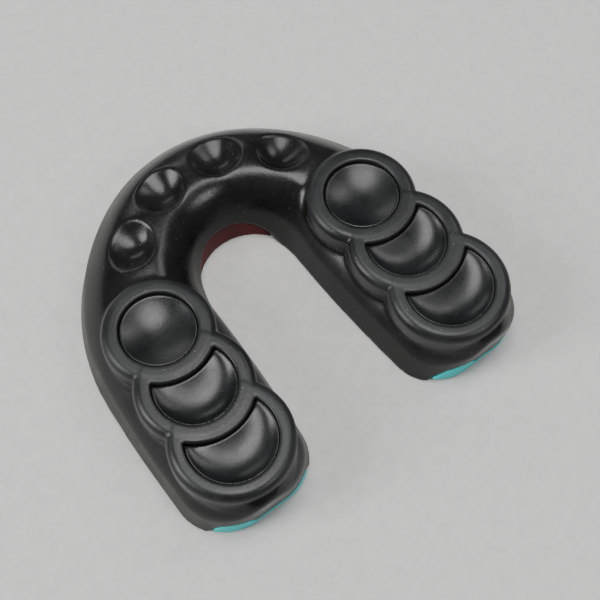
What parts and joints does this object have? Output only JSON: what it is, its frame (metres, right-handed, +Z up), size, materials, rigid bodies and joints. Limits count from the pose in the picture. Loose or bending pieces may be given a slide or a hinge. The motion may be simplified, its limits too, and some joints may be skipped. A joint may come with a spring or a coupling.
{
  "type": "mouthguard",
  "caption": "Adult boil-and-bite sports mouthguard in black rubber with raised ring bite pads, dimpled front, thin teal inner layer and red fit liner.",
  "frame": {"origin": "middle of the face that the guard rests on, under the centre of its outline", "axes": "+X across the mouth to the wearer-side right leg, +Y to the front teeth, +Z up from the tooth channel to the ring pads"},
  "size_m": [0.0686, 0.0652, 0.014],
  "materials": {
    "shell": "satin moulded elastomer",
    "pad": "satin moulded elastomer, a little greyer on the flats",
    "insert": "smooth gloss elastomer gel",
    "shock_layer": "satin soft elastomer",
    "liner": "smooth soft elastomer"
  },
  "bodies": {
    "root": {"outer_shell": "shell", "shock_layer": "shock_layer", "fit_liner": "liner", "left_bite_pad": "pad", "left_front_disc": "insert", "left_middle_crescent": "insert", "left_rear_crescent": "insert", "right_bite_pad": "pad", "right_front_disc": "insert", "right_middle_crescent": "insert", "right_rear_crescent": "insert"}
  },
  "joints": []
}
